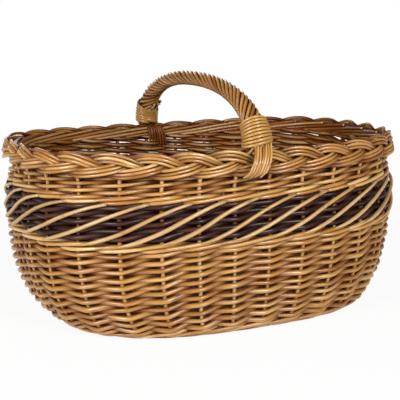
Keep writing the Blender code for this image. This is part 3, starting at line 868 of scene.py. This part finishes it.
class Shade:
    """The nodes that are wired into a material, or into the world."""

    def __init__(self, holder):
        self.holder = holder
        holder.use_nodes = True
        self.tree = holder.node_tree
        self.tree.nodes.clear()

    def node(self, kind, settings=None, sockets=None):
        made = self.tree.nodes.new(kind)
        for key, value in (settings or {}).items():
            if key == "stops":
                ramp_stops = made.color_ramp.elements
                while len(ramp_stops) < len(value):
                    ramp_stops.new(0.5)
                for stop, (place, colour) in zip(ramp_stops, value):
                    stop.position = place
                    stop.color = (*colour, 1.0)
            else:
                setattr(made, key, value)
        for key, value in (sockets or {}).items():
            socket = made.inputs[key]
            if isinstance(value, Term):
                self.tree.links.new(value.socket, socket)
            elif isinstance(value, tuple) and len(value) == 3 and socket.type == "RGBA":
                socket.default_value = (*value, 1.0)
            else:
                socket.default_value = value
        return Made(self, made)

    def read(self, name, which="Fac"):
        return self.node("ShaderNodeAttribute", {"attribute_name": name}).out(which)

    def mix(self, factor, first, second, blend="MIX"):
        settings = {"data_type": "RGBA", "blend_type": blend, "clamp_result": True}
        return self.node("ShaderNodeMix", settings, {"Factor": factor, 6: first, 7: second}).out(2)

    def noise(self, vector, scale, detail, rough=0.5):
        sockets = {"Vector": vector, "Scale": scale, "Detail": detail, "Roughness": rough}
        return self.node("ShaderNodeTexNoise", {}, sockets).out(0)

    def stretched(self, vector, times):
        settings = {"operation": "MULTIPLY"}
        return self.node("ShaderNodeVectorMath", settings, {0: vector, 1: times}).out(0)

    def finish(self, sockets):
        surface = self.node("ShaderNodeBsdfPrincipled", {}, sockets)
        self.node("ShaderNodeOutputMaterial", {}, {"Surface": surface.out(0)})
        return self.holder


# How many spots of each marking there are in a metre across a rod, the other way across, and along it
FIBRES = (900.0, 900.0, 34.0)
PATCHES = (120.0, 120.0, 26.0)
SLOW_CHANGES = (10.0, 10.0, 5.0)
LEAF_SCARS = (160.0, 160.0, 60.0)

WARM_TINT = (0.46, 0.19, 0.06)
GREEN_TINT = (0.50, 0.40, 0.08)
COAT_TINT = (1.0, 0.90, 0.72)
# Colours of the painted shade: reddish for the buff, pale and split willow, near black for the black
# willow, and the deepest shade past that
RED_SHADOW = (0.090, 0.013, 0.0005)
BLACK_SHADOW = (0.014, 0.003, 0.003)
DEEPEST_SHADE = (0.004, 0.001, 0.0005)
CUT_WOOD = (0.62, 0.44, 0.22)


def willow(name, stops, shadow, blotch, streak, roughness, coat):
    """Willow rod: tone from rod to rod, streaks along the fibre, blotches and leaf scars, and painted
    shade where the rod lies hidden.
    """
    shade = Shade(bpy.data.materials.new(name))
    grain = shade.read("grain", "Vector")
    tone = shade.read("tone")
    warmth = shade.read("warmth")
    recess = shade.read("recess")
    fibres = shade.noise(shade.stretched(grain, FIBRES), 1.0, 3.0, 0.6)
    patches = shade.noise(shade.stretched(grain, PATCHES), 1.0, 2.0, 0.55)
    slow = shade.noise(shade.stretched(grain, SLOW_CHANGES), 1.0, 1.0)
    scar = shade.noise(shade.stretched(grain, LEAF_SCARS), 1.0, 0.0)
    scarred = ((scar - 0.70) * 9.0).held()
    level = tone + (fibres - 0.5) * streak + (patches - 0.5) * blotch + (slow - 0.5) * 0.45
    colour = shade.node("ShaderNodeValToRGB", {"stops": stops}, {0: level.held()}).out(0)
    colour = shade.mix((warmth * 0.36).held(), colour, WARM_TINT, "SOFT_LIGHT")
    colour = shade.mix(((0.40 - warmth) * 1.1).held(), colour, GREEN_TINT, "SOFT_LIGHT")
    colour = shade.mix(scarred * 0.6, colour, stops[0][1])
    # Painted shade: the recess attribute mixes in the shadow colour where the rod lies hidden, in grooves
    # and beside its inner face, and past one goes on to the deepest shade; the coat thins by the same
    # amount
    colour = shade.mix(recess * 0.90, colour, shadow)
    colour = shade.mix((recess - 1.0).held() * 0.85, colour, DEEPEST_SHADE)
    relief = {"Strength": 0.35, "Distance": 0.0006, "Height": fibres + scarred * 0.8}
    return shade.finish({
        "Base Color": colour,
        "Roughness": (roughness + (patches - 0.5) * 0.25).held(),
        "Normal": shade.node("ShaderNodeBump", {}, relief).out(0),
        "Coat Weight": (1.0 - recess).held() * coat,
        "Coat Roughness": 0.24,
        "Coat IOR": 1.9,
        "Coat Tint": COAT_TINT,
        "Specular IOR Level": 0.12,
    })


def cut_end(name, colour):
    """The sawn or knifed end of a rod: pale wood with darker spots."""
    shade = Shade(bpy.data.materials.new(name))
    spots = shade.noise(shade.read("grain", "Vector"), 900.0, 2.0)
    darker = tuple(channel * 0.6 for channel in colour)
    return shade.finish({"Base Color": shade.mix(spots, colour, darker), "Roughness": 0.8})


# Colours of each willow from its darkest to its palest
BUFF_STOPS = [
    (0.00, (0.125, 0.034, 0.002)),
    (0.30, (0.285, 0.126, 0.020)),
    (0.55, (0.475, 0.275, 0.088)),
    (0.80, (0.655, 0.470, 0.220)),
    (1.00, (0.830, 0.680, 0.430)),
]
BLACK_STOPS = [
    (0.00, (0.008, 0.002, 0.002)),
    (0.45, (0.036, 0.012, 0.007)),
    (0.75, (0.085, 0.034, 0.022)),
    (1.00, (0.180, 0.095, 0.065)),
]
PALE_STOPS = [
    (0.00, (0.180, 0.070, 0.012)),
    (0.50, (0.470, 0.310, 0.130)),
    (1.00, (0.700, 0.570, 0.370)),
]
SKEIN_STOPS = [
    (0.00, (0.260, 0.112, 0.025)),
    (0.50, (0.490, 0.300, 0.088)),
    (1.00, (0.740, 0.560, 0.250)),
]


def dress():
    buff = willow("buff_willow", BUFF_STOPS, RED_SHADOW, 0.40, 0.42, 0.44, 0.62)
    black = willow("black_willow", BLACK_STOPS, BLACK_SHADOW, 0.50, 0.50, 0.46, 0.20)
    pale = willow("pale_willow", PALE_STOPS, RED_SHADOW, 0.35, 0.40, 0.44, 0.45)
    split = willow("split_skein", SKEIN_STOPS, RED_SHADOW, 0.30, 0.55, 0.40, 0.40)
    pith = cut_end("cut_willow_end", CUT_WOOD)

    def rows(zone, count):
        return [f"{zone}_{row + 1:02d}" for row in range(count)]

    strands = [f"border_strand_{strand}" for strand in (1, 2, 3)]
    light = "light_willow"
    pieces = [
        ("woven_stakes", make_stakes, buff, light, ["stake_frame"]),
        ("foot_wale_weave", make_foot_wale, buff, light, rows("foot_wale", 3)),
        ("lower_siding_weave", make_lower_siding, buff, light, rows("lower_siding", 12)),
        ("lower_wale_weave", make_lower_wale, buff, light, rows("lower_wale", 2)),
        ("dark_band_weave", make_dark_band, black, "dark_willow", rows("dark_band", 5)),
        ("sloping_rods", make_sloping_rods, pale, light, ["band_overlay"]),
        ("upper_wale_weave", make_upper_wale, buff, light, rows("upper_wale", 2)),
        ("upper_siding_weave", make_upper_siding, buff, light, rows("upper_siding", 2)),
        ("plaited_border", make_border, buff, light, strands),
        ("bow_core", make_bow, buff, light, ["bow_handle"]),
        ("roped_handle", make_roping, buff, light, ["handle_roping"]),
        ("front_skein_binding", make_front_binding, split, "skein", ["front_binding"]),
        ("back_skein_binding", make_back_binding, split, "skein", ["back_binding"]),
        ("front_rod_ends", make_front_ends, buff, light, ["front_outer_fan", "front_inner_fan"]),
        ("back_rod_ends", make_back_ends, buff, light, ["back_outer_fan", "back_inner_fan"]),
        ("base_weave", make_base, buff, light, ["woven_base", "base_sticks"]),
    ]
    for name, make, finish, slot, stands_for in pieces:
        bundle = Bundle(name)
        make(bundle)
        bundle.piece(finish, pith, stands_for)


WHITE = (1.0, 1.0, 1.0)
FLOOR_REACH = 9.0
FLOOR_COLOUR = (0.90, 0.90, 0.90)
FLOOR_GLOW = 0.91
FADE_FROM = 0.35
FADE_OVER = 1.3
ROOM_COLOUR = (1.0, 0.92, 0.80)
ROOM_LEVEL = 0.15


def make_floor():
    """A pale floor that keeps a little of the basket's shadow near it and is plain white further off."""
    shade = Shade(bpy.data.materials.new("pale_floor"))
    paths = shade.node("ShaderNodeLightPath")
    mirrored = paths.out("Is Glossy Ray") + paths.out("Is Transmission Ray")
    seen = (paths.out("Is Camera Ray") + mirrored).held()
    matte = shade.node("ShaderNodeBsdfDiffuse", {}, {"Color": FLOOR_COLOUR})
    lit = shade.node("ShaderNodeEmission", {}, {"Color": WHITE, "Strength": 1.0})
    place = shade.node("ShaderNodeTexCoord").out("Object")
    away = shade.node("ShaderNodeVectorMath", {"operation": "LENGTH"}, {0: place}).out("Value")
    far = ((away - FADE_FROM) / FADE_OVER).held()
    glow = seen * (FLOOR_GLOW + far * (1 - FLOOR_GLOW))
    both = shade.node("ShaderNodeMixShader", {}, {0: glow, 1: matte.out(0), 2: lit.out(0)})
    shade.node("ShaderNodeOutputMaterial", {}, {"Surface": both.out(0)})
    mesh = bpy.data.meshes.new("floor")
    corners = [(x * FLOOR_REACH, y * FLOOR_REACH, 0) for x, y in ((-1, -1), (1, -1), (1, 1), (-1, 1))]
    mesh.from_pydata(corners, [], [(0, 1, 2, 3)])
    mesh.materials.append(shade.holder)
    floor = bpy.data.objects.new("floor", mesh)
    bpy.context.scene.collection.objects.link(floor)


def make_world():
    """Dim warm light from all round, and plain white where the camera looks past the basket."""
    world = bpy.data.worlds.new("studio")
    bpy.context.scene.world = world
    shade = Shade(world)
    seen = shade.node("ShaderNodeLightPath").out("Is Camera Ray")
    room = shade.node("ShaderNodeBackground", {}, {"Color": ROOM_COLOUR, "Strength": ROOM_LEVEL})
    white = shade.node("ShaderNodeBackground", {}, {"Color": WHITE, "Strength": 1.0})
    both = shade.node("ShaderNodeMixShader", {}, {0: seen, 1: room.out(0), 2: white.out(0)})
    shade.node("ShaderNodeOutputWorld", {}, {"Surface": both.out(0)})


def make_lamp(name, place, height_lit, size, power):
    data = bpy.data.lights.new(name, "AREA")
    data.shape = "RECTANGLE"
    data.size, data.size_y = size
    data.energy = power
    lamp = bpy.data.objects.new(name, data)
    lamp.location = place
    aim = Vector((0.0, 0.0, height_lit)) - Vector(place)
    lamp.rotation_euler = aim.to_track_quat("-Z", "Y").to_euler()
    bpy.context.scene.collection.objects.link(lamp)


# The photograph's own view, from a fit to the basket's outline, in pixels of its picture
PICTURE_SIZE = 400
PICTURE_FOCUS = 1010.94
PICTURE_AXIS = (201.17, 202.37)
SENSOR_WIDTH = 36.0
VIEW_TURN = math.radians(-25.12)
VIEW_LIFT = math.radians(11.10)
VIEW_ROLL = math.radians(-0.11)
VIEW_AIM = (0.0, 0.0, 0.120)
VIEW_DISTANCE = 1.23275


def make_camera():
    flat = math.cos(VIEW_LIFT)
    back = Vector((math.sin(VIEW_TURN) * flat, -math.cos(VIEW_TURN) * flat, math.sin(VIEW_LIFT)))
    level = Vector((math.cos(VIEW_TURN), math.sin(VIEW_TURN), 0.0))
    upright = back.cross(level)
    right = level * math.cos(VIEW_ROLL) + upright * math.sin(VIEW_ROLL)
    up = upright * math.cos(VIEW_ROLL) - level * math.sin(VIEW_ROLL)
    data = bpy.data.cameras.new("camera")
    data.sensor_width = SENSOR_WIDTH
    data.lens = PICTURE_FOCUS / PICTURE_SIZE * SENSOR_WIDTH
    data.shift_x = (PICTURE_SIZE / 2 - PICTURE_AXIS[0]) / PICTURE_SIZE
    data.shift_y = (PICTURE_AXIS[1] - PICTURE_SIZE / 2) / PICTURE_SIZE
    data.clip_start, data.clip_end = 0.05, 60.0
    camera = bpy.data.objects.new("camera", data)
    place = Vector(VIEW_AIM) + back * VIEW_DISTANCE
    camera.matrix_world = Matrix.Translation(place) @ Matrix((right, up, back)).transposed().to_4x4()
    bpy.context.scene.collection.objects.link(camera)
    bpy.context.scene.camera = camera


dress()
make_floor()
make_world()
make_lamp("key", (0.35, -2.3, 1.25), 0.08, (0.9, 0.7), 52)
make_lamp("fill", (-2.1, -1.0, 1.0), 0.10, (1.2, 1.2), 54)
make_lamp("back", (0.5, 2.4, 1.0), 0.10, (1.4, 1.0), 18)
make_camera()
bpy.context.scene.view_settings.view_transform = "Standard"
